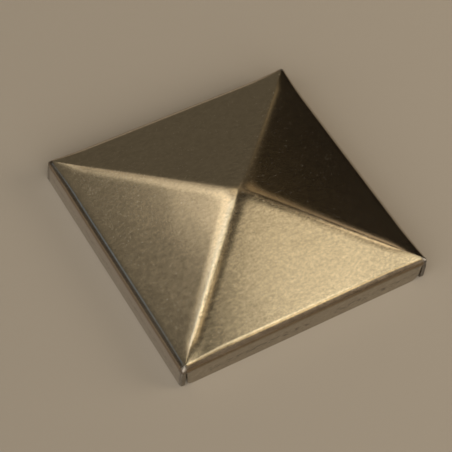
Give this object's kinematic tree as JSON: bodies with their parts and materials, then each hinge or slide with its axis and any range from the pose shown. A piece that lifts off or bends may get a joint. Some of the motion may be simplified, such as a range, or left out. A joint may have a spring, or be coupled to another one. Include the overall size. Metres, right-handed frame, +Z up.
{
  "type": "post cap",
  "caption": "Shallow pyramid cap folded from one sheet, with a short skirt on each side that slips over the top of a square post.",
  "frame": {"origin": "centre of the rim, on the surface that the rim stands on", "axes": "+Z up through the peak, +X and +Y square to the skirts"},
  "size_m": [0.0944, 0.0944, 0.0219],
  "materials": {
    "aluminium": "mill finish, satin, lightly scuffed"
  },
  "bodies": {
    "root": {"post_cap": "aluminium"}
  },
  "joints": []
}
